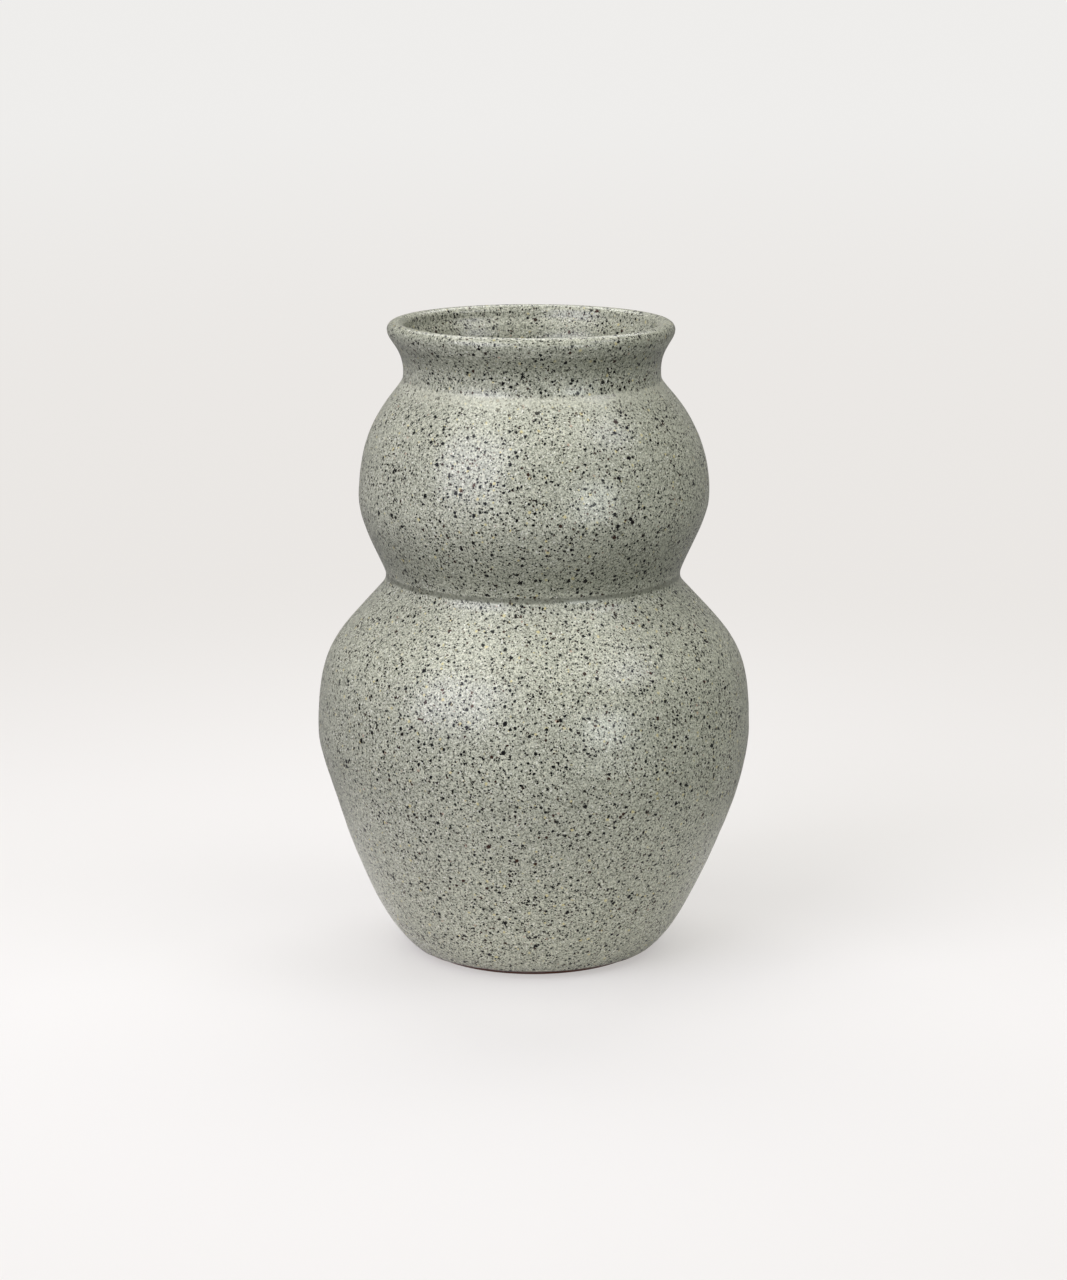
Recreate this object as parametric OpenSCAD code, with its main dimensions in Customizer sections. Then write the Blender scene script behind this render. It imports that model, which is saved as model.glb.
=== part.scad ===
// Gourd vase in speckled stoneware: a large lower bulb, a smaller upper bulb
// and a flared neck, each thrown by itself and joined with slip, then glazed.
// The vase stands on z = 0 and is round about the z axis. Sizes are in millimetres.

/* [Foot] */
// Outer diameter of the ring that the vase stands on
foot_d = 84; // [76:0.5:92]
// Width of the standing ring
foot_ring_w = 7; // [4:0.5:12]
// Depth of the hollow turned inside the standing ring
foot_recess = 2.5; // [1:0.5:3.5]
// How far the wall of that hollow slopes inwards
recess_slope = 1.5; // [0.5:0.5:3]
// Thickness of the clay floor above the hollow
floor_t = 7; // [5:0.5:10]
// Diameter of the flat middle of the floor inside
floor_flat_d = 76; // [60:1:84]

/* [Lower bulb] */
// How far the heel swells out beyond the standing ring
heel_spread = 18; // [14:0.5:21]
// Height of the heel
heel_rise = 22; // [18:0.5:26]
// Widest diameter of the lower bulb, clay only
belly_d = 162.6; // [152:0.2:176]
// Height from the heel to the widest line of the lower bulb
belly_rise = 63.3; // [50:0.1:80]

/* [Waist] */
// Diameter of the waist at its narrowest, clay only
waist_d = 109.2; // [100:0.2:118]
// Height from the widest line of the lower bulb to the waist
waist_rise = 59.7; // [50:0.1:75]
// Radius of the hollow fillet round the waist
waist_fillet = 7; // [4:0.5:9]

/* [Upper bulb] */
// Widest diameter of the upper bulb, clay only
crown_d = 129.5; // [124:0.5:142]
// Height from the waist to the widest line of the upper bulb
crown_rise = 30; // [26:0.5:40]

/* [Neck] */
// Diameter at the crease where the neck meets the upper bulb, clay only
neck_d = 94.9; // [92:0.1:102]
// Height from the widest line of the upper bulb to that crease
neck_rise = 43.6; // [38:0.2:52]
// Radius of the hollow fillet in that crease
neck_fillet = 3; // [1.5:0.5:5]
// How far the neck draws in above the crease, measured on the radius
throat_inset = 0.25; // [0.1:0.05:1.2]
// Height from the crease to the narrowest line of the neck
throat_rise = 2.8; // [2:0.2:8]

/* [Lip] */
// How far the rolled lip stands out beyond the narrowest line of the neck
lip_flare = 5.7; // [4:0.1:9]
// Height from the narrowest line of the neck to the widest line of the lip
lip_rise = 15.6; // [12:0.2:22]
// Thickness of the rolled lip from side to side, clay only
lip_t = 5.2; // [4.2:0.2:6.4]
// Height of the lip's rounding above its widest line
lip_crown = 2.35; // [1.5:0.05:4]

/* [Wall, seams and glaze] */
// Thickness of the thrown wall
wall = 5; // [4:0.25:6]
// Thickness of the slip in the two seams
slip_t = 0.6; // [0.4:0.1:1.2]
// Width of the tongue that keys one section into the next
tongue_w = 3; // [2:0.25:3.5]
// Depth of that tongue
tongue_h = 1.5; // [0.75:0.25:2.5]
// Thickness of the glaze outside, over the lip and down to the throat
glaze_t = 0.65; // [0.3:0.05:1]
// Thickness of the poured glaze inside, below the throat
liner_t = 0.5; // [0.3:0.05:1]
// Height above the table at which the outer glaze stops
glaze_line = 1.8; // [1:0.1:5]

/* [Lean of the wall, in degrees from upright] */
// Outward lean at the standing ring
foot_lean = 68; // [60:1:74]
// Outward lean at the top of the heel
heel_lean = 26; // [20:1:32]
// Inward lean of the shoulder just below the waist
shoulder_lean = 42; // [34:1:50]
// Outward lean of the upper bulb just above the waist
bulb_lean = 19; // [12:1:28]
// Inward lean of the upper bulb just below the neck crease
crown_lean = 21; // [15:1:34]
// Inward lean of the neck just above that crease
neck_lean = 8; // [2:1:12]

/* [Fullness: how far each curve runs on straight, as a share of its chord] */
// Heel, at the standing ring
heel_pull_low = 0.27; // [0.15:0.01:0.4]
// Heel, at its top
heel_pull_high = 0.32; // [0.2:0.01:0.45]
// Lower bulb below its widest line, at the heel
belly_pull_low = 0.54; // [0.3:0.01:0.65]
// Lower bulb below its widest line, at that line
belly_pull_high = 0.1; // [0.05:0.01:0.3]
// Shoulder of the lower bulb, at the widest line
shoulder_pull_low = 0.53; // [0.3:0.01:0.6]
// Shoulder of the lower bulb, at the waist
shoulder_pull_high = 0.46; // [0.2:0.01:0.5]
// Upper bulb below its widest line, at the waist
bulb_pull_low = 0.22; // [0.1:0.01:0.45]
// Upper bulb below its widest line, at that line
bulb_pull_high = 0.3; // [0.15:0.01:0.5]
// Upper bulb above its widest line, at that line
crown_pull_low = 0.6; // [0.35:0.01:0.65]
// Upper bulb above its widest line, at the neck crease
crown_pull_high = 0.12; // [0.05:0.01:0.3]
// Neck flare, at the throat
flare_pull_low = 0.55; // [0.3:0.01:0.6]
// Neck flare, at the lip
flare_pull_high = 0.2; // [0.1:0.01:0.4]
// Inside of the heel, at its top
hollow_pull_high = 0.35; // [0.2:0.01:0.5]
// Inside of the heel, where it runs out into the flat floor
hollow_pull_low = 0.4; // [0.2:0.01:0.5]

/* [Hidden] */

$fn = 96;
clay_colour = [0.44, 0.25, 0.17];
slip_colour = [0.58, 0.40, 0.29];
glaze_colour = [0.60, 0.61, 0.54];
liner_colour = [0.58, 0.57, 0.52];

// Heights above the table of the lines that the outline passes through
belly_z = heel_rise + belly_rise;
waist_z = belly_z + waist_rise;
crown_z = waist_z + crown_rise;
neck_z = crown_z + neck_rise;
throat_z = neck_z + throat_rise;
lip_z = throat_z + lip_rise;
floor_z = foot_recess + floor_t;

// The share of its chord that a plain, evenly bent curve runs on straight
even_pull = 1/3;

// Radii of the narrowest line of the neck and of the widest line of the lip
throat_r = neck_d/2 - throat_inset;
lip_r = throat_r + lip_flare;

// Lines well outside the vase, for cutting it across
reach = belly_d;
below = -floor_t;
above = lip_z + lip_rise;

// A station is [radius, height, lean]. The lean is the direction of travel
// along the outline, in degrees from straight up, with outwards positive.
// The clay always lies on the left hand of the traveller, and its skin faces right.
function spot(s) = [s[0], s[1]];
function ahead(s, far) = [s[0] + far*sin(s[2]), s[1] + far*cos(s[2])];
function raised(s, t) = [s[0] + t*cos(s[2]), s[1] - t*sin(s[2])];
function spots(path) = [for (s = path) spot(s)];
function coat(path, t) = [for (s = path) raised(s, t)];
function reversed(list) = [for (i = [len(list) - 1:-1:0]) list[i]];
function rest(list) = [for (i = [1:len(list) - 1]) list[i]];

// A cubic curve through four control points, and its direction
function cubic(p, t) =
    pow(1 - t, 3)*p[0] + 3*pow(1 - t, 2)*t*p[1] + 3*(1 - t)*t*t*p[2] + pow(t, 3)*p[3];
function cubic_way(p, t) =
    pow(1 - t, 2)*(p[1] - p[0]) + 2*(1 - t)*t*(p[2] - p[1]) + t*t*(p[3] - p[2]);
function cubic_station(p, t) =
    let (q = cubic(p, t), way = cubic_way(p, t)) [q[0], q[1], atan2(way[0], way[1])];

// Stations on a smooth curve from a to b, without a itself
function sweep(a, b, pull_a, pull_b, steps) =
    let (
        chord = norm(spot(b) - spot(a)),
        p = [spot(a), ahead(a, pull_a*chord), ahead(b, -pull_b*chord), spot(b)]
    )
    [for (i = [1:steps]) cubic_station(p, i/steps)];

// The station of a hollow fillet at which the wall has the given lean
function fillet_at(centre, radius, lean) =
    [centre[0] - radius*cos(lean), centre[1] + radius*sin(lean), lean];
function fillet(centre, radius, lean_a, lean_b, steps) =
    [for (i = [1:steps]) fillet_at(centre, radius, lean_a + (lean_b - lean_a)*i/steps)];

// The rolled lip, from its widest line over the top to its inner side
function lip_station(turn) =
    let (half = lip_t/2)
    [lip_r - half + half*cos(turn), lip_z + lip_crown*sin(turn),
     atan2(-half*sin(turn), lip_crown*cos(turn))];

// Stations that the outer wall passes through, from the table upwards
foot_edge = [foot_d/2, 0, foot_lean];
heel = [foot_d/2 + heel_spread, heel_rise, heel_lean];
belly = [belly_d/2, belly_z, 0];
waist_centre = [waist_d/2 + waist_fillet, waist_z];
waist_low = fillet_at(waist_centre, waist_fillet, -shoulder_lean);
waist_high = fillet_at(waist_centre, waist_fillet, bulb_lean);
crown = [crown_d/2, crown_z, 0];
crease_lean = -(crown_lean + neck_lean)/2;
crease_centre = [neck_d/2 + neck_fillet*cos(crease_lean), neck_z - neck_fillet*sin(crease_lean)];
crease_low = fillet_at(crease_centre, neck_fillet, -crown_lean);
crease_high = fillet_at(crease_centre, neck_fillet, -neck_lean);
throat = [throat_r, throat_z, 0];
lip_outside = lip_station(0);

// The outer wall: the heel, the bulbs, the crease with the throat, and the flare.
// The inner wall runs parallel to the bulbs alone.
heel_run = concat([foot_edge], sweep(foot_edge, heel, heel_pull_low, heel_pull_high, 10));
body_run = concat(
    sweep(heel, belly, belly_pull_low, belly_pull_high, 20),
    sweep(belly, waist_low, shoulder_pull_low, shoulder_pull_high, 22),
    fillet(waist_centre, waist_fillet, -shoulder_lean, bulb_lean, 6),
    sweep(waist_high, crown, bulb_pull_low, bulb_pull_high, 10),
    sweep(crown, crease_low, crown_pull_low, crown_pull_high, 18));
neck_run = concat(
    fillet(crease_centre, neck_fillet, -crown_lean, -neck_lean, 4),
    sweep(crease_high, throat, even_pull, even_pull, 3));
flare_run = sweep(throat, lip_outside, flare_pull_low, flare_pull_high, 10);
lip_run = [for (i = [1:14]) lip_station(180*i/14)];

// The inner wall, travelled downwards from the lip to the middle of the floor
function inner(s) = [s[0] - wall*cos(s[2]), s[1] + wall*sin(s[2]), s[2] - 180];
throat_inside = inner(throat);
heel_inside = inner(heel);
floor_edge = [floor_flat_d/2, floor_z, -90];
flare_inside = sweep(lip_station(180), throat_inside, flare_pull_high, flare_pull_low, 10);
neck_inside = sweep(throat_inside, inner(crease_low), even_pull, even_pull, 4);
body_inside = concat([for (s = reversed(body_run)) inner(s)], [heel_inside]);
floor_inside = concat(
    sweep(heel_inside, floor_edge, hollow_pull_high, hollow_pull_low, 10),
    [[0, floor_z, -90]]);

// The whole clay section, and the parts of its skin that each glaze covers
dipped_skin = concat(heel_run, body_run, neck_run, flare_run, lip_run, flare_inside);
poured_skin = concat([throat_inside], neck_inside, rest(body_inside), floor_inside);
recess_d = foot_d - 2*foot_ring_w;

module clay_section() {
    polygon(concat(
        spots(dipped_skin),
        spots(rest(poured_skin)),
        [[0, foot_recess], [recess_d/2 - recess_slope, foot_recess], [recess_d/2, 0]]));
}

// A seam line across the wall at radius r, with the tongue pointing down
function seam_line(r, z) =
    [[0, z], [r - tongue_w/2, z], [r, z - tongue_h], [r + tongue_w/2, z], [reach, z]];
function plain_line(z) = [[0, z], [reach, z]];
function waist_line(side) = seam_line(waist_d/2 - wall/2, waist_z + side*slip_t/2);
function neck_line(side) = seam_line(neck_d/2 - wall/2, neck_z + side*slip_t/2);

// The clay between two lines, turned into a ring
module clay_between(low_line, high_line) {
    rotate_extrude()
        intersection() {
            clay_section();
            polygon(concat(low_line, reversed(high_line)));
        }
}

// A coat of glaze of thickness t on a stretch of the skin
module coat_section(skin, t) {
    polygon(concat(spots(skin), reversed(coat(skin, t))));
}

// Lower section with the floor, the turned foot and a grooved rim
module lower_bulb() {
    color(clay_colour) clay_between(plain_line(below), waist_line(-1));
}

// Slip that fills the seam at the waist
module waist_joint_slip() {
    color(slip_colour) clay_between(waist_line(-1), waist_line(1));
}

// Upper section with a tongue below and a grooved rim above
module upper_bulb() {
    color(clay_colour) clay_between(waist_line(1), neck_line(-1));
}

// Slip that fills the seam at the neck
module neck_joint_slip() {
    color(slip_colour) clay_between(neck_line(-1), neck_line(1));
}

// Flared neck with the rolled lip and a tongue below
module neck_collar() {
    color(clay_colour) clay_between(neck_line(1), plain_line(above));
}

// Dipped glaze: from just above the foot, over the lip and down to the throat
module outer_glaze() {
    color(glaze_colour)
        rotate_extrude()
            intersection() {
                coat_section(dipped_skin, glaze_t);
                translate([0, glaze_line]) square([reach, above]);
            }
}

// Poured glaze that makes the inside hold water, from the throat down
module liner_glaze() {
    color(liner_colour) rotate_extrude() coat_section(poured_skin, liner_t);
}

lower_bulb();
waist_joint_slip();
upper_bulb();
neck_joint_slip();
neck_collar();
outer_glaze();
liner_glaze();
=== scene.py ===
"""Looks of the gourd vase: thrown stoneware sections under a speckled satin glaze.

Every piece is turned again from the outline of its own CAD node, finer and a little
out of true, and gets a procedural glaze, clay or slip. Lengths are in metres.
"""

import math

import bpy
import numpy as np
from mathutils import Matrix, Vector


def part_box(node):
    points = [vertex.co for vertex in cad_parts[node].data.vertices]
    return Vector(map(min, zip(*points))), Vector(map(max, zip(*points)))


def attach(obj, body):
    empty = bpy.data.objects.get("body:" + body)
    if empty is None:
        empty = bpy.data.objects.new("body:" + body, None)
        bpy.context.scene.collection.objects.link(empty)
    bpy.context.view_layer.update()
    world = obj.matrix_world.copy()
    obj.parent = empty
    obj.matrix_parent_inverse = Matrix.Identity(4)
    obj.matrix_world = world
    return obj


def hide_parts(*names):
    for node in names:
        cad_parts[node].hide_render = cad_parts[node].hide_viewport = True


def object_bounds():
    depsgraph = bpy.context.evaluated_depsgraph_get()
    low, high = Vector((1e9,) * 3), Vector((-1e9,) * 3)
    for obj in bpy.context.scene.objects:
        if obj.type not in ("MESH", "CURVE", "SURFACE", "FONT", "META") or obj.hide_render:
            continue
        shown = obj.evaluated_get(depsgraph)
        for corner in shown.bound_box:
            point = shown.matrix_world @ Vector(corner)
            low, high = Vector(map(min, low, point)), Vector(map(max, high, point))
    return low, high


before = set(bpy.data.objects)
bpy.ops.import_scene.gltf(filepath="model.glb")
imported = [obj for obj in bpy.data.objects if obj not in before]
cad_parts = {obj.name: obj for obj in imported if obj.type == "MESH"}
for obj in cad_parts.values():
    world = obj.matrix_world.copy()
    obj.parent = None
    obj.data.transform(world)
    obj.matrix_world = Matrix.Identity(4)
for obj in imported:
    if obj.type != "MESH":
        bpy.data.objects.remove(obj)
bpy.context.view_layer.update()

MM = 0.001

# Camera of the photograph, which looks down at the vase by 12.6 degrees
CAMERA_PLACE = Vector((0.0, -1.2375, 0.3953))
CAMERA_AIM = Vector((0.0, 0.0, 0.1187))
CAMERA_LENS = 94.2
CAMERA_SENSOR = 36.0

# Places that the shapes and the glaze follow, read from the CAD pieces. The upper bulb and the
# neck each reach below their seam by a tongue.
TONGUE = 1.5 * MM
ROLLED_LIP = 6.5 * MM
VASE_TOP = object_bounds()[1].z
WAIST_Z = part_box("upper_bulb")[0].z + TONGUE
CREASE_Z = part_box("neck_collar")[0].z + TONGUE
GLAZE_EDGE_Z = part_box("outer_glaze")[0].z
GLAZE_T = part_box("outer_glaze")[1].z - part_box("neck_collar")[1].z
LIP_Z = VASE_TOP - ROLLED_LIP
LIP_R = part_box("neck_collar")[1].x

CLAY_NODES = ("lower_bulb", "upper_bulb", "neck_collar", "waist_joint_slip", "neck_joint_slip")


# Outlines of the turned CAD pieces

# Points of the CAD mesh are rounded to a cell, and closer than this they are one ring
RING_CELL = 1e-6
SAME_RING = 8e-6
# A point where the outline turns by more than this stays a sharp corner
CORNER = math.radians(30)
# Shorter than any length in the outlines: as a radius it means on the axis
TINY = 1e-9
TINY_AREA = 1e-18


def outline(node):
    """The outline of a turned node, and whether it closes.

    Its points are (radius, height) rows that run with the piece on their left.
    """
    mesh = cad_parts[node].data
    place = np.array([v.co for v in mesh.vertices], float)
    spots = np.c_[np.hypot(place[:, 0], place[:, 1]), place[:, 2]]
    cells, cell_of = np.unique(np.round(spots / RING_CELL), axis=0, return_inverse=True)
    near = np.linalg.norm(cells[:, None] - cells[None], axis=2) < SAME_RING / RING_CELL
    ring_of = np.argmax(near, axis=1)[cell_of.ravel()]
    beside = {}
    for a, b in ring_of[np.array([e.vertices for e in mesh.edges])]:
        if a != b:
            beside.setdefault(int(a), set()).add(int(b))
            beside.setdefault(int(b), set()).add(int(a))
    path = [min(beside, key=lambda ring: (len(beside[ring]), ring))]
    while beside[path[-1]] - set(path):
        path.append(min(beside[path[-1]] - set(path)))
    closed = len(beside[path[0]]) == 2
    points = cells[path] * RING_CELL
    if not closed:
        points = np.vstack([[0, points[0, 1]], points, [0, points[-1, 1]]])
    onward = np.roll(points, -1, axis=0)
    area = np.sum(points[:, 0] * onward[:, 1] - onward[:, 0] * points[:, 1])
    return (points if area > 0 else points[::-1]), closed


def turns(points, closed):
    """How far the outline turns at each of its points, as an angle."""
    way = np.roll(points, -1, axis=0) - points
    heading = np.arctan2(way[:, 1], way[:, 0])
    turn = (heading - np.roll(heading, 1) + math.pi) % (2 * math.pi) - math.pi
    if not closed:
        turn[[0, -1]] = math.pi
    return np.abs(turn)


def headings(points, closed):
    """The direction of the outline at each point, from the bend through its two neighbours."""
    after = np.roll(points, -1, axis=0) - points
    before = np.roll(after, 1, axis=0)
    far = np.maximum(np.linalg.norm(after, axis=1, keepdims=True), TINY)
    near = np.maximum(np.linalg.norm(before, axis=1, keepdims=True), TINY)
    bend = after / far * near + before / near * far
    if not closed:
        bend[0], bend[-1] = after[0], before[-1]
    return bend / np.maximum(np.linalg.norm(bend, axis=1, keepdims=True), TINY)


def smoothed(points, closed, step_of):
    """The same outline with more points, round between its corners.

    Returns the points and a corner mark for each.
    """
    sharp = turns(points, closed) > CORNER
    way = headings(points, closed)
    count = len(points)
    rows, marks = [], []
    for i in range(count if closed else count - 1):
        a, b = points[i], points[(i + 1) % count]
        chord = b - a
        length = np.linalg.norm(chord)
        start = chord if sharp[i] else way[i] * length
        end = chord if sharp[(i + 1) % count] else way[(i + 1) % count] * length
        steps = max(1, math.ceil(length / step_of(a, b)))
        for k in range(steps):
            t = k / steps
            rows.append((2 * t**3 - 3 * t**2 + 1) * a + (t**3 - 2 * t**2 + t) * start
                        + (3 * t**2 - 2 * t**3) * b + (t**3 - t**2) * end)
            marks.append(sharp[i] and k == 0)
    if not closed:
        rows.append(points[-1])
        marks.append(True)
    return np.array(rows), np.array(marks)


def gap_to(points, path):
    """The distance of each point from an outline."""
    a, b = path, np.roll(path, -1, axis=0)
    along = b - a
    size = np.maximum((along**2).sum(1), TINY_AREA)
    t = np.clip(((points[:, None] - a) * along).sum(2) / size, 0, 1)
    foot = a + t[..., None] * along
    return np.linalg.norm(points[:, None] - foot, axis=2).min(1)


# Shape of the surface as the potter left it

# How far the middle of the vase lies off its axis to the right, by height, in millimetres
SWAY_HEIGHTS = (0, 20, 40, 61, 88, 130, 155, 181, 205, 222, 240)
SWAY_RIGHT = (0, -0.2, 0.2, 0.8, 0.1, 0.2, -0.3, 0.45, -0.15, -0.45, -0.95)
SWAY_BACK = (0, 0.1, 0.3, 0.2, -0.3, -0.2, 0.2, 0.3, -0.1, 0.2, 0.5)
# How far the wall swells out of round, in an oval and in smaller lumps
OVAL = 0.25 * MM
LUMP = 0.12 * MM
SMALL_LUMP = 0.7
# Below this height, and this close to the axis, the vase comes true again
FOOT_CALM = 12 * MM
AXIS_CALM = 30 * MM
ON_AXIS = 1e-6


def eased(x, heights, values):
    """A smooth run through the given values, flat at each of them."""
    place = np.clip(np.searchsorted(heights, x, side="right") - 1, 0, len(heights) - 2)
    heights, values = np.array(heights, float), np.array(values, float)
    low, high = heights[place], heights[place + 1]
    t = np.clip((x - low) / (high - low), 0, 1)
    t = t * t * (3 - 2 * t)
    return values[place] * (1 - t) + values[place + 1] * t


def as_thrown(place):
    """Every point where the potter's hand left it: a little out of true, and flat on the table.

    The waves run 2, 3 and 5 times round the vase and slowly up it. Their pitches, in radians to
    the metre, and their phases are free: they only keep one wave from lying on another.
    """
    x, y, z = place.T
    turn = np.arctan2(y, x)
    radius = np.hypot(x, y)
    calm = np.clip(z / FOOT_CALM, 0, 1) ** 2
    swell = OVAL * np.cos(2 * turn + 30 * z + 0.8)
    swell += LUMP * np.sin(3 * turn - 55 * z + 1.9) * np.cos(70 * z + 0.4)
    swell += LUMP * SMALL_LUMP * np.sin(5 * turn + 90 * z + 4.0) * np.sin(48 * z + 2.1)
    grown = calm * swell * np.minimum(radius / AXIS_CALM, 1) / np.maximum(radius, ON_AXIS)
    share = np.where(radius > ON_AXIS, 1 + grown, 1)
    height = z / MM
    right = calm * eased(height, SWAY_HEIGHTS, SWAY_RIGHT) * MM
    back = calm * eased(height, SWAY_HEIGHTS, SWAY_BACK) * MM
    return np.c_[x * share + right, y * share + back, np.maximum(z, 0)]


def throwing_rings(z, turn, depth, pitch, phase):
    """The faint spiral that the fingers leave in a wall that turns, one groove to a turn."""
    fade = 0.55 + 0.45 * np.sin(41 * z + phase) * np.cos(97 * z + 2 * phase)
    return depth * fade * np.sin(2 * math.pi * z / pitch + turn + phase + 0.5 * np.sin(33 * z))


def turned(name, node, step_of, segments, relief=None, skin_gap=None):
    """A piece turned from the outline of a CAD node. The relief moves its skin outwards."""
    points, closed = outline(node)
    path, corners = smoothed(points, closed, step_of)
    way = headings(path, closed)
    outwards = np.c_[way[:, 1], -way[:, 0]]
    turn = np.arange(segments) * 2 * math.pi / segments
    offset = np.zeros((len(path), segments))
    if relief is not None:
        skin = np.clip(skin_gap(path), 0, 1)[:, None]
        offset = relief(path, turn[None, :]) * skin
    on_axis = path[:, 0] < TINY
    radius = path[:, 0, None] + outwards[:, 0, None] * offset
    height = path[:, 1, None] + outwards[:, 1, None] * offset
    radius[on_axis] = 0
    grid = np.stack([radius * np.cos(turn), radius * np.sin(turn), height], axis=2)

    sizes = np.where(on_axis, 1, segments)
    first = (np.cumsum(sizes) - sizes).tolist()
    place = as_thrown(np.vstack([row[:size] for row, size in zip(grid, sizes)]))
    faces = []
    for i in range(len(path) if closed else len(path) - 1):
        k = (i + 1) % len(path)
        for j in range(segments):
            n = (j + 1) % segments
            low = [first[i]] if on_axis[i] else [first[i] + j, first[i] + n]
            high = [first[k]] if on_axis[k] else [first[k] + n, first[k] + j]
            if len(low + high) > 2:
                faces.append(low + high)
    mesh = bpy.data.meshes.new(name)
    mesh.from_pydata(place.tolist(), [], faces)
    mesh.update()
    mesh.polygons.foreach_set("use_smooth", [True] * len(mesh.polygons))
    ring = np.repeat(np.arange(len(path)), sizes)
    marked = corners & ~on_axis
    for edge in mesh.edges:
        a, b = ring[edge.vertices[0]], ring[edge.vertices[1]]
        if a == b and marked[a]:
            edge.use_edge_sharp = True
    piece = bpy.data.objects.new(name, mesh)
    bpy.context.scene.collection.objects.link(piece)
    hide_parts(node)
    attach(piece, "root")
    return piece


# Materials

class Graph:
    """The nodes of one material, added one call at a time."""

    def __init__(self, name):
        self.material = bpy.data.materials.new(name)
        self.material.use_nodes = True
        self.tree = self.material.node_tree
        self.tree.nodes.clear()
        self.place = self.add("ShaderNodeTexCoord").outputs["Object"]

    def add(self, kind, inputs=None, **settings):
        node = self.tree.nodes.new(kind)
        for key, value in settings.items():
            setattr(node, key, value)
        for key, value in (inputs or {}).items():
            if isinstance(value, bpy.types.NodeSocket):
                self.tree.links.new(value, node.inputs[key])
            else:
                node.inputs[key].default_value = value
        return node

    def maths(self, operation, a, b=0.0, c=0.0):
        return self.add("ShaderNodeMath", {0: a, 1: b, 2: c}, operation=operation).outputs[0]

    def vector(self, operation, a, b):
        return self.add("ShaderNodeVectorMath", {0: a, 1: b}, operation=operation).outputs[0]

    def scaled(self, vector, factor):
        return self.add("ShaderNodeVectorMath", {0: vector, "Scale": factor}, operation="SCALE").outputs[0]

    def height(self):
        """How high above the table, in metres."""
        return self.add("ShaderNodeSeparateXYZ", {"Vector": self.place}).outputs["Z"]

    def radius(self):
        """How far from the vase's axis, in metres."""
        level = self.vector("MULTIPLY", self.place, (1, 1, 0))
        return self.add("ShaderNodeVectorMath", {0: level}, operation="LENGTH").outputs["Value"]

    def spread(self, value, low, high, to_low=0.0, to_high=1.0, smooth=True):
        """Value taken from the range low..high to the range to_low..to_high."""
        kind = "SMOOTHSTEP" if smooth else "LINEAR"
        return self.add("ShaderNodeMapRange", {
            "Value": value, "From Min": low, "From Max": high, "To Min": to_low, "To Max": to_high,
        }, interpolation_type=kind).outputs[0]

    def mixed(self, factor, a, b, blend="MIX"):
        node = self.tree.nodes.new("ShaderNodeMix")
        node.data_type, node.blend_type = "RGBA", blend
        for socket, value in (("Factor_Float", factor), ("A_Color", a), ("B_Color", b)):
            put = next(s for s in node.inputs if s.identifier == socket)
            if isinstance(value, bpy.types.NodeSocket):
                self.tree.links.new(value, put)
            elif socket == "Factor_Float":
                put.default_value = value
            else:
                put.default_value = (*value, 1.0)
        return next(s for s in node.outputs if s.identifier == "Result_Color")

    def noise(self, grain, detail=2.0, roughness=0.5, place=None):
        """Noise whose patches are about one grain across, from 0 to 1."""
        return self.add("ShaderNodeTexNoise", {
            "Vector": place or self.place, "Scale": 1 / grain, "Detail": detail, "Roughness": roughness,
        }, noise_dimensions="3D")

    def finish(self, shader_inputs, bumps=()):
        """The shader, with bumps as (height socket, depth in metres) pairs laid over each other."""
        normal = None
        for height, depth in bumps:
            inputs = {"Height": height, "Distance": depth, "Strength": 1.0}
            if normal is not None:
                inputs["Normal"] = normal
            normal = self.add("ShaderNodeBump", inputs).outputs[0]
        if normal is not None:
            shader_inputs = {**shader_inputs, "Normal": normal}
        shader = self.add("ShaderNodeBsdfPrincipled", shader_inputs)
        self.add("ShaderNodeOutputMaterial", {"Surface": shader.outputs[0]})
        return self.material


# Added to the distance from a grain in the cells that hold none
NO_GRAIN = 9.0


def specks(graph, place, ragged, cell, smallest, largest, share, soft, shift):
    """Grains scattered through space, one or none to a cell.

    Cell and radii are in metres, share is how many cells hold a grain, soft is how much of its
    radius fades, and shift moves one layer of grains off another. Returns the grains' mask and
    a random number for each.
    """
    moved = graph.vector("ADD", place, shift)
    cells = graph.add("ShaderNodeTexVoronoi", {"Vector": moved, "Scale": 1 / cell, "Randomness": 1.0},
                      voronoi_dimensions="3D", feature="F1")
    draw = graph.add("ShaderNodeSeparateColor", {"Color": cells.outputs["Color"]})
    lot = graph.maths("MULTIPLY", draw.outputs[0], draw.outputs[0])
    radius = graph.spread(lot, 0.0, 1.0, smallest / cell, largest / cell, smooth=False)
    off = graph.maths("ADD", graph.maths("DIVIDE", cells.outputs["Distance"], radius), ragged)
    none = graph.maths("MULTIPLY", graph.maths("GREATER_THAN", draw.outputs[1], share), NO_GRAIN)
    off = graph.maths("ADD", off, none)
    return graph.spread(off, 1 + soft, 1 - soft), draw.outputs[2]


# Colours of the glaze and what lies in it, as they would be in plain white light
GLAZE_PALE = (0.665, 0.66, 0.52)
GLAZE_MID = (0.425, 0.43, 0.335)
GLAZE_DARK = (0.15, 0.154, 0.112)
GLAZE_DEEP = (0.25, 0.255, 0.20)
GLAZE_THIN = (0.40, 0.33, 0.24)
# Painted shade: the tone that darkens the glaze above the waist, under and on the lip and in the mouth
PAINTED_SHADE_TONE = (0.66, 0.67, 0.64)
SALT = (0.80, 0.79, 0.70)
CREAM = (0.66, 0.57, 0.26)
ROSE = (0.46, 0.28, 0.20)
IRON = (0.002, 0.002, 0.0015)
IRON_BROWN = (0.040, 0.016, 0.008)
CLAY_RED = (0.165, 0.052, 0.028)
CLAY_ORANGE = (0.21, 0.075, 0.040)
CLAY_DARK = (0.075, 0.022, 0.013)
CLAY_SAND = (0.36, 0.22, 0.13)
CLAY_IRON = (0.02, 0.012, 0.009)
SLIP_TAN = (0.25, 0.11, 0.06)
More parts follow.
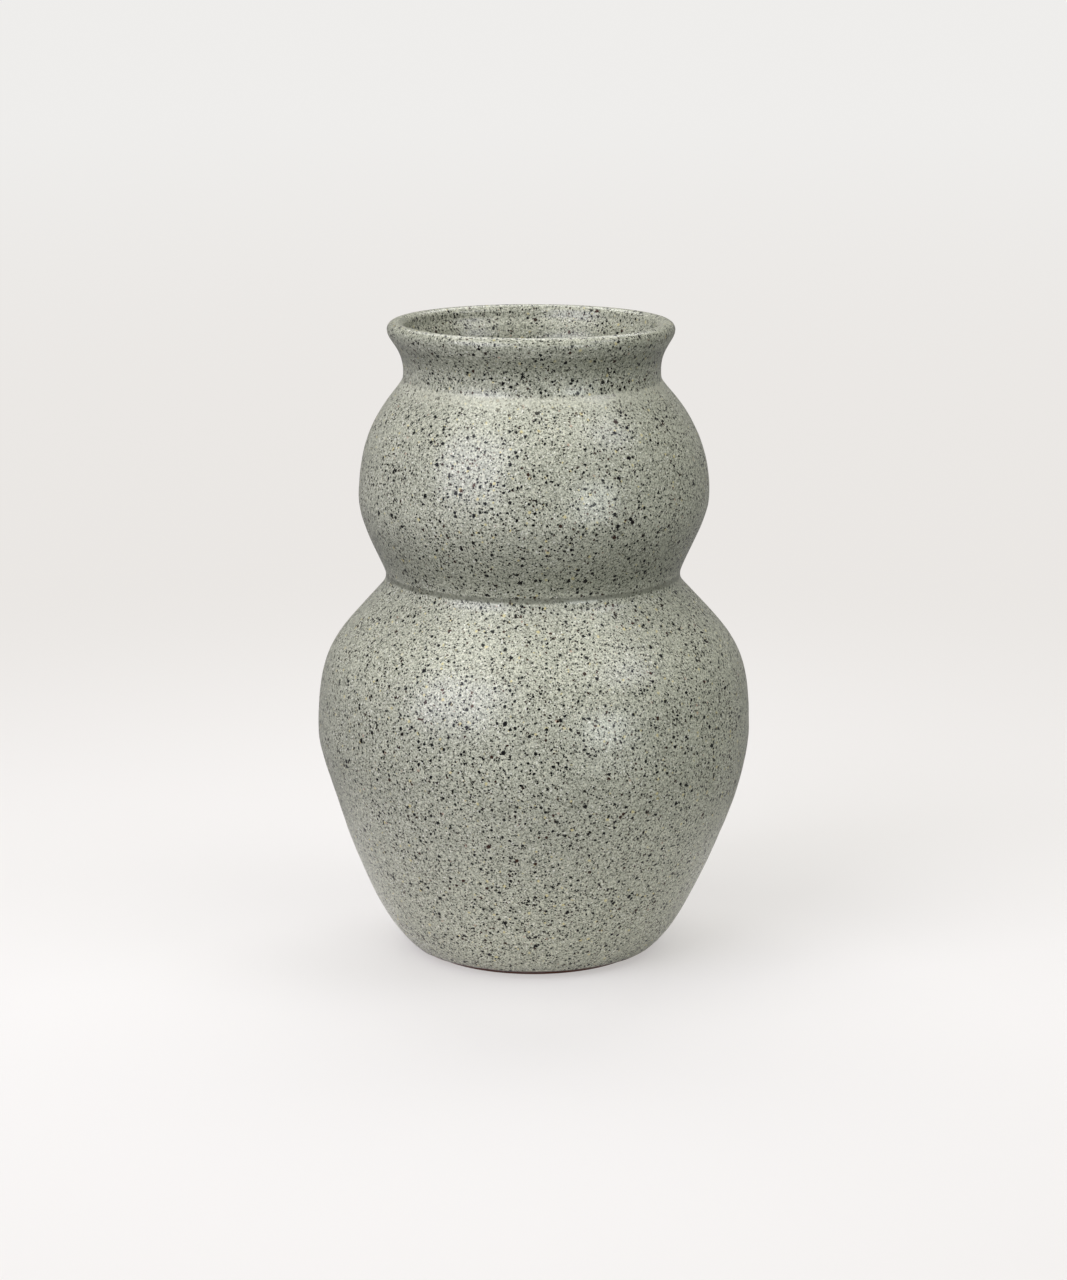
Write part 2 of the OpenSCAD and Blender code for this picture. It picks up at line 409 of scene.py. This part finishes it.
SLIP_DARK = (0.17, 0.07, 0.04)

OUTER_ROUGHNESS = 0.28
LINER_ROUGHNESS = 0.30
# Painted shade: the glaze inside the vase is darkened all over by this
LINER_PAINTED_SHADE = (0.80, 0.795, 0.77)
# Share of metal in the iron specks, which takes the milky haze of the satin off them
IRON_METAL = 0.5

# Mottling of the glaze: grain, detail and roughness of each noise, and where on it a colour
# starts and is whole, in some with its share at both ends
FINE_NOISE = (1.0 * MM, 2.0, 0.75)
GRIT_NOISE = (0.55 * MM, 1.0, 0.6)
GRIT_SHIFT = (0.4, 0.9, 0.2)
BROAD_NOISE = (38 * MM, 2.0, 0.5)
FINE_TO_MID = (0.33, 0.48)
FINE_TO_PALE = (0.52, 0.68)
GRIT_TO_DARK = (0.46, 0.34, 0.0, 0.9)
GRIT_TO_PALE = (0.56, 0.66, 0.0, 0.9)
BROAD_TO_DEEP = (0.35, 0.75, 0.0, 0.12)

# How far the grains are bent out of round, and how ragged their edges are
BEND_NOISE = (0.9 * MM, 2.0)
BEND = 0.8 * MM
RAGGED_NOISE = (0.42 * MM, 1.0)
RAGGED = (0.2, 0.8, -0.45, 0.45)

# Pale grains: cell, smallest and largest radius in millimetres, share of the cells that hold
# one, how much it covers, its colour, and the shift of its layer
PALE_SOFT = 0.30
PALE_GRAINS = (
    (1.25, 0.15, 0.34, 0.75, 0.90, SALT, (0.31, 0.17, 0.05)),
    (3.1, 0.24, 0.66, 0.65, 0.75, CREAM, (0.77, 0.41, 0.23)),
    (4.2, 0.22, 0.55, 0.50, 0.65, ROSE, (0.23, 0.66, 0.91)),
)
# Iron specks: the same, with the softness of their edges in place of cover and colour
IRON_GRAINS = (
    (1.08, 0.25, 0.43, 0.72, 0.04, (0.11, 0.53, 0.29)),
    (2.20, 0.38, 0.72, 0.80, 0.03, (0.47, 0.07, 0.61)),
    (5.80, 0.60, 0.95, 0.75, 0.03, (0.19, 0.83, 0.37)),
)
# Of the specks' random numbers, those above these are brown
BROWN_SPECKS = (0.80, 0.95)

# The thin, wiped and wavering lower edge of the glaze
EDGE_NOISE = (9 * MM, 2.0)
EDGE_WAVE = 2.0 * MM
WIPED_WAVE = 0.15
EDGE_THIN = (GLAZE_EDGE_Z + 0.2 * MM, GLAZE_EDGE_Z + 1.6 * MM, 0.45, 0.0)
EDGE_WIPED = (GLAZE_EDGE_Z + 1.15 * MM, GLAZE_EDGE_Z + 0.85 * MM)

# Painted shade in the waist crease, above the waist, under and on the lip and in the mouth, and a paler
# band below the crease of the neck: where each starts and ends and, in some, its share at both
# Painted shade: a dark line along the waist crease
WAIST_CREASE_SHADE = (1.5 * MM, 0.4 * MM, 0.0, 0.75)
SHADE_ABOVE_WAIST_FOOT = (WAIST_Z, WAIST_Z + 1 * MM)
SHADE_ABOVE_WAIST_RISE = (WAIST_Z + 1 * MM, WAIST_Z + 7 * MM, 0.35, 1.0)
SHADE_ABOVE_WAIST_FADE = (WAIST_Z + 30 * MM, WAIST_Z + 9 * MM, 0.0, 0.72)
SHADE_UNDER_LIP_RISE = (CREASE_Z + 3 * MM, CREASE_Z + 10 * MM, 0.0, 0.80)
SHADE_UNDER_LIP_END = (LIP_Z, LIP_Z - 1.5 * MM)
SHADE_IN_MOUTH = (LIP_R - 5.5 * MM, LIP_R - 9 * MM, 0.0, 0.65)
SHADE_IN_MOUTH_LOW = CREASE_Z - 4 * MM
SHADE_ON_LIP = (LIP_Z - 1 * MM, LIP_Z + 2 * MM, 0.0, 0.38)
# A paler band just below the crease of the neck
PALE_BAND_RISE = (CREASE_Z - 7 * MM, CREASE_Z - 1.5 * MM, 0.0, 0.40)
PALE_BAND_END = (CREASE_Z, CREASE_Z - 0.8 * MM)

# The satin's change in roughness, and the depths of its orange peel and of the specks
SATIN_NOISE = (14 * MM, 2.0)
SATIN_RANGE = (0.3, 0.7)
SATIN_CHANGE = 0.02
PEEL_NOISE = (1.3 * MM, 2.0, 0.55)
PEEL_DEPTH = 0.006 * MM
SPECK_DEPTH = 0.012 * MM


def painted_shade_and_pale_band(g, colour, height):
    """The glaze with painted shade, and with a paler band.

    It has painted shade: dark in the waist crease, darker above the waist, under and on the lip and
    in the mouth. It is paler in a band below the crease of the neck.
    """
    off_waist = g.maths("ABSOLUTE", g.maths("SUBTRACT", height, WAIST_Z))
    # Painted shade: a dark line in the waist crease
    colour = g.mixed(g.spread(off_waist, *WAIST_CREASE_SHADE), colour, GLAZE_DARK)
    # Painted shade above the waist, under the lip, in the mouth and on the rolled lip
    shade_above_waist = g.maths("MULTIPLY", g.spread(height, *SHADE_ABOVE_WAIST_RISE), g.spread(height, *SHADE_ABOVE_WAIST_FADE))
    shade_above_waist = g.maths("MULTIPLY", shade_above_waist, g.spread(height, *SHADE_ABOVE_WAIST_FOOT))
    shade_under_lip = g.maths("MULTIPLY", g.spread(height, *SHADE_UNDER_LIP_RISE), g.spread(height, *SHADE_UNDER_LIP_END))
    inside = g.maths("MULTIPLY", g.spread(g.radius(), *SHADE_IN_MOUTH),
                     g.maths("GREATER_THAN", height, SHADE_IN_MOUTH_LOW))
    rolled = g.spread(height, *SHADE_ON_LIP)
    outside = g.maths("MAXIMUM", shade_above_waist, shade_under_lip)
    tone = g.maths("MAXIMUM", outside, g.maths("MAXIMUM", inside, rolled))
    # The painted shade darkens the glaze by multiplying it with its tone
    colour = g.mixed(tone, colour, PAINTED_SHADE_TONE, "MULTIPLY")
    # Paler in a band just below the crease of the neck
    pale_band = g.maths("MULTIPLY", g.spread(height, *PALE_BAND_RISE), g.spread(height, *PALE_BAND_END))
    return g.mixed(pale_band, colour, GLAZE_PALE)


def speckled_glaze(name, roughness, shade_tint=None):
    """Satin grey-green glaze, full of iron specks, with salt, cream and rose grains."""
    g = Graph(name)
    wobble = g.vector("SUBTRACT", g.noise(*BEND_NOISE).outputs["Color"], (0.5, 0.5, 0.5))
    bent = g.vector("ADD", g.place, g.scaled(wobble, BEND))
    ragged = g.spread(g.noise(*RAGGED_NOISE).outputs["Fac"], *RAGGED, smooth=False)

    fine = g.noise(*FINE_NOISE).outputs["Fac"]
    grit = g.noise(*GRIT_NOISE, g.vector("ADD", g.place, GRIT_SHIFT)).outputs["Fac"]
    broad = g.noise(*BROAD_NOISE).outputs["Fac"]
    colour = g.mixed(g.spread(fine, *FINE_TO_MID), GLAZE_DARK, GLAZE_MID)
    colour = g.mixed(g.spread(fine, *FINE_TO_PALE), colour, GLAZE_PALE)
    colour = g.mixed(g.spread(grit, *GRIT_TO_DARK), colour, GLAZE_DARK)
    colour = g.mixed(g.spread(grit, *GRIT_TO_PALE), colour, GLAZE_PALE)
    colour = g.mixed(g.spread(broad, *BROAD_TO_DEEP), colour, GLAZE_DEEP)

    for cell, smallest, largest, share, cover, grain, shift in PALE_GRAINS:
        mask = specks(g, bent, ragged, cell * MM, smallest * MM, largest * MM, share, PALE_SOFT, shift)[0]
        colour = g.mixed(g.maths("MULTIPLY", mask, cover), colour, grain)

    grains = 0.0
    for cell, smallest, largest, share, soft, shift in IRON_GRAINS:
        mask, lot = specks(g, bent, ragged, cell * MM, smallest * MM, largest * MM, share, soft, shift)
        iron = g.mixed(g.spread(lot, *BROWN_SPECKS), IRON, IRON_BROWN)
        colour = g.mixed(mask, colour, iron)
        grains = g.maths("MAXIMUM", grains, mask)

    height = g.height()
    wave = g.maths("SUBTRACT", g.noise(*EDGE_NOISE).outputs["Fac"], 0.5)
    edge_wave = g.maths("MULTIPLY", wave, EDGE_WAVE)
    thin = g.spread(g.maths("ADD", height, edge_wave), *EDGE_THIN)
    colour = g.mixed(thin, colour, GLAZE_THIN)
    wiped = g.spread(g.maths("ADD", height, g.maths("MULTIPLY", edge_wave, WIPED_WAVE)), *EDGE_WIPED)
    colour = g.mixed(wiped, colour, CLAY_DARK)
    # Painted shade in the waist crease, above the waist, under and on the lip and in the mouth, and a
    # paler band below the neck's crease
    colour = painted_shade_and_pale_band(g, colour, height)
    # Painted shade: the liner's colour is darkened all over by the shade tint
    if shade_tint:
        colour = g.mixed(1.0, colour, shade_tint, "MULTIPLY")

    satin = g.spread(g.noise(*SATIN_NOISE).outputs["Fac"], *SATIN_RANGE,
                     roughness - SATIN_CHANGE, roughness + SATIN_CHANGE)
    peel = g.noise(*PEEL_NOISE).outputs["Fac"]
    metal = g.maths("MULTIPLY", grains, IRON_METAL)
    return g.finish({"Base Color": colour, "Roughness": satin, "Metallic": metal, "IOR": 1.5},
                    ((peel, PEEL_DEPTH), (g.maths("SUBTRACT", 1.0, grains), SPECK_DEPTH)))


# Bare clay: its noises, and its grains as cell, radii, share, softness and shift
CLAY_NOISE = (0.5 * MM, 3.0, 0.65)
CLAY_TO_DARK = (0.35, 0.62, 0.55, 0.0)
PATCH_NOISE = (7 * MM, 2.0)
PATCH_TO_ORANGE = (0.3, 0.7)
SAND_GRAINS = (1.4 * MM, 0.10 * MM, 0.34 * MM, 0.6, 0.4, (0.2, 0.5, 0.1))
SAND_COVER = 0.6
CLAY_IRON_GRAINS = (2.4 * MM, 0.15 * MM, 0.5 * MM, 0.6, 0.3, (0.6, 0.2, 0.7))
CLAY_IRON_COVER = 0.85
TOASTED = (GLAZE_EDGE_Z - 1.4 * MM, GLAZE_EDGE_Z, 0.0, 0.6)
TOOL_PITCH = 1.1 * MM
TOOL_DEPTH = 0.03 * MM
CLAY_DEPTH = 0.10 * MM
SLIP_NOISE = (0.4 * MM, 3.0, 0.6)
SLIP_TO_DARK = (0.3, 0.7)
SLIP_DEPTH = 0.06 * MM


def bare_clay():
    """Unglazed red-brown stoneware with a sandy grain and the marks of the turning tool."""
    g = Graph("bare_clay")
    height = g.height()
    grain = g.noise(*CLAY_NOISE).outputs["Fac"]
    patches = g.noise(*PATCH_NOISE).outputs["Fac"]
    colour = g.mixed(g.spread(patches, *PATCH_TO_ORANGE), CLAY_RED, CLAY_ORANGE)
    colour = g.mixed(g.spread(grain, *CLAY_TO_DARK), colour, CLAY_DARK)
    sand = specks(g, g.place, 0.0, *SAND_GRAINS)[0]
    colour = g.mixed(g.maths("MULTIPLY", sand, SAND_COVER), colour, CLAY_SAND)
    iron = specks(g, g.place, 0.0, *CLAY_IRON_GRAINS)[0]
    colour = g.mixed(g.maths("MULTIPLY", iron, CLAY_IRON_COVER), colour, CLAY_IRON)
    toasted = g.spread(height, *TOASTED)
    colour = g.mixed(toasted, colour, CLAY_DARK)
    along = g.maths("ADD", g.radius(), height)
    marks = g.maths("SINE", g.maths("MULTIPLY", along, 2 * math.pi / TOOL_PITCH))
    return g.finish({"Base Color": colour, "Roughness": 0.85, "IOR": 1.45},
                    ((marks, TOOL_DEPTH), (grain, CLAY_DEPTH)))


def joint_slip():
    """Fired slip: finer and paler than the clay that it joins."""
    g = Graph("joint_slip")
    grain = g.noise(*SLIP_NOISE).outputs["Fac"]
    colour = g.mixed(g.spread(grain, *SLIP_TO_DARK), SLIP_TAN, SLIP_DARK)
    return g.finish({"Base Color": colour, "Roughness": 0.8, "IOR": 1.45}, ((grain, SLIP_DEPTH),))


# The pieces

# Longest step along an outline, where a skin has relief and where it has none
FINE_STEP = 1.4 * MM
PLAIN_STEP = 4.0 * MM
SEGMENTS = 200
# A coat's skin has all of its relief this far from the clay, and none where it touches it
SKIN_GAP = 0.3 * MM
CLAY_TOUCH = 0.1 * MM

# Throwing rings: depth, pitch and phase
OUTER_RINGS = (0.03 * MM, 8.5 * MM, 0.7)
INNER_RINGS = (0.12 * MM, 9.5 * MM, 2.1)
# The rolled edge of the coat at the foot: its height, how much of the coat it takes off at the
# lowest line, and its waver
ROLL_HEIGHT = 0.9 * MM
ROLL_SHARE = 0.62
WAVER = 0.07 * MM

clay_outlines = [outline(node)[0] for node in CLAY_NODES]


def from_clay(path):
    """How far each point of an outline lies from the clay."""
    return np.min([gap_to(path, clay) for clay in clay_outlines], axis=0)


def glaze_skin(path):
    """1 on the free side of a coat of glaze and 0 where it lies on the clay."""
    return from_clay(path) / SKIN_GAP


def glaze_step(a, b):
    return FINE_STEP if from_clay(np.array([a, b])).max() > CLAY_TOUCH else PLAIN_STEP


def clay_step(a, b):
    return PLAIN_STEP


def outer_relief(path, turn):
    """Faint throwing rings outside, and the rolled and wavering edge of the coat at the foot."""
    z = path[:, 1, None]
    rings = throwing_rings(z, turn, *OUTER_RINGS)
    above = np.clip((z - GLAZE_EDGE_Z) / ROLL_HEIGHT, 0, 1)
    rolled = -ROLL_SHARE * GLAZE_T * (1 - np.sqrt(1 - (1 - above) ** 2))
    waves = np.sin(7 * turn + 1.0) + np.sin(12 * turn + 2.6) + np.sin(23 * turn)
    return rings * above + rolled + WAVER * waves * (1 - above)


def inner_relief(path, turn):
    """Deeper throwing rings inside, where nobody smoothed them."""
    return throwing_rings(path[:, 1, None], turn, *INNER_RINGS)


outer_glaze = turned("outer_glaze_coat", "outer_glaze", glaze_step, SEGMENTS, outer_relief, glaze_skin)
liner_glaze = turned("liner_glaze_coat", "liner_glaze", glaze_step, SEGMENTS, inner_relief, glaze_skin)
lower_bulb = turned("lower_bulb_clay", "lower_bulb", clay_step, SEGMENTS)
upper_bulb = turned("upper_bulb_clay", "upper_bulb", clay_step, SEGMENTS)
neck_collar = turned("neck_collar_clay", "neck_collar", clay_step, SEGMENTS)
waist_slip = turned("waist_slip_ring", "waist_joint_slip", clay_step, SEGMENTS)
neck_slip = turned("neck_slip_ring", "neck_joint_slip", clay_step, SEGMENTS)

clay_material = bare_clay()
slip_material = joint_slip()
for piece, material, slot in (
        (outer_glaze, speckled_glaze("speckled_glaze", OUTER_ROUGHNESS), "speckled_glaze"),
        (liner_glaze, speckled_glaze("liner_glaze", LINER_ROUGHNESS, LINER_PAINTED_SHADE), "liner_glaze"),
        (lower_bulb, clay_material, "bare_clay"),
        (upper_bulb, clay_material, "bare_clay"),
        (neck_collar, clay_material, "bare_clay"),
        (waist_slip, slip_material, "joint_slip"),
        (neck_slip, slip_material, "joint_slip")):
    piece.data.materials.append(material)


# Floor, world, lamps and camera

# Half the floor's width, and its colour as the camera sees it under the lamps
FLOOR_REACH = 30.0
FLOOR_SEEN = (0.93, 0.915, 0.90)
# An even paper tone is laid over that, near the vase in one colour and far away in that of the
# backdrop. Distances from the vase's foot in metres.
PLAIN_NEAR = (0.825, 0.80, 0.775)
PLAIN_FAR = (0.86, 0.85, 0.835)
FAR_FROM = 0.4
FAR_WHOLE = 5.0
# Its share close to the vase, and where it grows from that until it hides where the lamplight ends
TONE_CLOSE = 0.55
TONE_FROM = 0.10
TONE_WHOLE = 0.75
# What the floor sends back of the light, close to the vase and, from the second distance on, far off
BOUNCE_NEAR = (0.72, 0.70, 0.68)
BOUNCE_FAR = (0.10, 0.10, 0.10)
BOUNCE_FROM = 0.10
BOUNCE_TO = 0.21

# How much of the backdrop a gloss shows: the rest is the darker room that the vase was lit in
GLOSS_SHOWS = 0.25

# Even light from all round
AMBIENT = (0.08, 0.08, 0.083)

LAMP_AIM = Vector((0, 0, 0.12))

# Name, azimuth to the right of the camera and elevation in degrees, distance, width and height
# in metres, brightness of the face, and colour
LAMPS = (
    ("key_softbox", -43, 25.5, 1.7, 1.30, 1.42, 3.9, (1.0, 1.0, 1.14)),
    ("overhead_softbox", 0, 72, 1.6, 1.90, 1.30, 0.87, (1.0, 1.0, 0.93)),
    ("left_overhead_softbox", -70, 61, 1.6, 0.90, 0.70, 2.1, (1.0, 1.0, 0.93)),
    ("right_overhead_softbox", 70, 61, 1.6, 0.90, 0.70, 1.2, (1.0, 1.0, 0.85)),
    ("right_softbox", 68, 45, 1.7, 0.75, 0.55, 2.65, (1.0, 1.0, 1.2)),
    ("low_softbox", 38, 3, 1.7, 0.66, 0.44, 8.4, (0.95, 1.0, 1.0)),
    ("back_softbox", 180, 54, 1.6, 1.70, 0.80, 3.4, (1.0, 1.0, 1.0)),
)


def seen_ray(tree):
    """How far a ray shows the backdrop: from the camera, through glass or, in part, off a gloss."""
    path = tree.nodes.new("ShaderNodeLightPath")
    total = path.outputs["Is Camera Ray"]
    for name, share in (("Is Glossy Ray", GLOSS_SHOWS), ("Is Transmission Ray", 1.0)):
        part = tree.nodes.new("ShaderNodeMath")
        part.operation = "MULTIPLY"
        part.inputs[1].default_value = share
        tree.links.new(path.outputs[name], part.inputs[0])
        most = tree.nodes.new("ShaderNodeMath")
        most.operation = "MAXIMUM"
        tree.links.new(total, most.inputs[0])
        tree.links.new(part.outputs[0], most.inputs[1])
        total = most.outputs[0]
    return total


def floor_material():
    """Pale floor that keeps the vase's shadow and runs out into the plain backdrop."""
    g = Graph("pale_floor")
    distance = g.add("ShaderNodeVectorMath", {0: g.place}, operation="LENGTH").outputs["Value"]
    bounce = g.mixed(g.spread(distance, BOUNCE_FROM, BOUNCE_TO), BOUNCE_NEAR, BOUNCE_FAR)
    lit = g.add("ShaderNodeBsdfDiffuse", {"Color": bounce})
    pale = g.add("ShaderNodeBsdfDiffuse", {"Color": (*FLOOR_SEEN, 1)})
    tone = g.mixed(g.spread(distance, FAR_FROM, FAR_WHOLE), PLAIN_NEAR, PLAIN_FAR)
    plain = g.add("ShaderNodeEmission", {"Color": tone})
    tone_share = g.spread(distance, TONE_FROM, TONE_WHOLE, TONE_CLOSE, 1.0)
    shown = g.add("ShaderNodeMixShader", {0: tone_share, 1: pale.outputs[0], 2: plain.outputs[0]})
    floor = g.add("ShaderNodeMixShader", {0: seen_ray(g.tree), 1: lit.outputs[0], 2: shown.outputs[0]})
    g.add("ShaderNodeOutputMaterial", {"Surface": floor.outputs[0]})
    return g.material


def make_floor():
    mesh = bpy.data.meshes.new("floor")
    r = FLOOR_REACH
    mesh.from_pydata([(-r, -r, 0), (r, -r, 0), (r, r, 0), (-r, r, 0)], [], [(0, 1, 2, 3)])
    floor = bpy.data.objects.new("floor", mesh)
    bpy.context.scene.collection.objects.link(floor)
    mesh.materials.append(floor_material())
    return floor


def make_world():
    """A little even light from all round, behind a pale backdrop."""
    world = bpy.data.worlds.new("studio")
    bpy.context.scene.world = world
    world.use_nodes = True
    tree = world.node_tree
    tree.nodes.clear()
    light = tree.nodes.new("ShaderNodeBackground")
    light.inputs["Color"].default_value = (*AMBIENT, 1)
    shown = tree.nodes.new("ShaderNodeBackground")
    shown.inputs["Color"].default_value = (*PLAIN_FAR, 1)
    mix = tree.nodes.new("ShaderNodeMixShader")
    tree.links.new(seen_ray(tree), mix.inputs[0])
    tree.links.new(light.outputs[0], mix.inputs[1])
    tree.links.new(shown.outputs[0], mix.inputs[2])
    out = tree.nodes.new("ShaderNodeOutputWorld")
    tree.links.new(mix.outputs[0], out.inputs["Surface"])


def make_lamp(name, azimuth, elevation, distance, width, height, face, colour):
    """A softbox that looks at the vase. Its power follows its area, so its face stays as bright."""
    data = bpy.data.lights.new(name, "AREA")
    data.shape = "RECTANGLE"
    data.size, data.size_y = width, height
    data.color = colour
    data.energy = face * math.pi * width * height
    lamp = bpy.data.objects.new(name, data)
    bpy.context.scene.collection.objects.link(lamp)
    a, e = math.radians(azimuth), math.radians(elevation)
    away = Vector((math.sin(a) * math.cos(e), -math.cos(a) * math.cos(e), math.sin(e)))
    lamp.location = LAMP_AIM + away * distance
    lamp.rotation_mode = "QUATERNION"
    lamp.rotation_quaternion = away.to_track_quat("Z", "Y")
    lamp.visible_camera = False
    return lamp


def make_camera():
    data = bpy.data.cameras.new("camera")
    data.lens = CAMERA_LENS
    data.sensor_width = CAMERA_SENSOR
    data.sensor_fit = "AUTO"
    camera = bpy.data.objects.new("camera", data)
    bpy.context.scene.collection.objects.link(camera)
    camera.location = CAMERA_PLACE
    camera.rotation_mode = "QUATERNION"
    camera.rotation_quaternion = (CAMERA_AIM - CAMERA_PLACE).to_track_quat("-Z", "Y")
    bpy.context.scene.camera = camera


make_floor()
make_world()
for lamp in LAMPS:
    make_lamp(*lamp)
make_camera()
bpy.context.scene.view_settings.view_transform = "Standard"
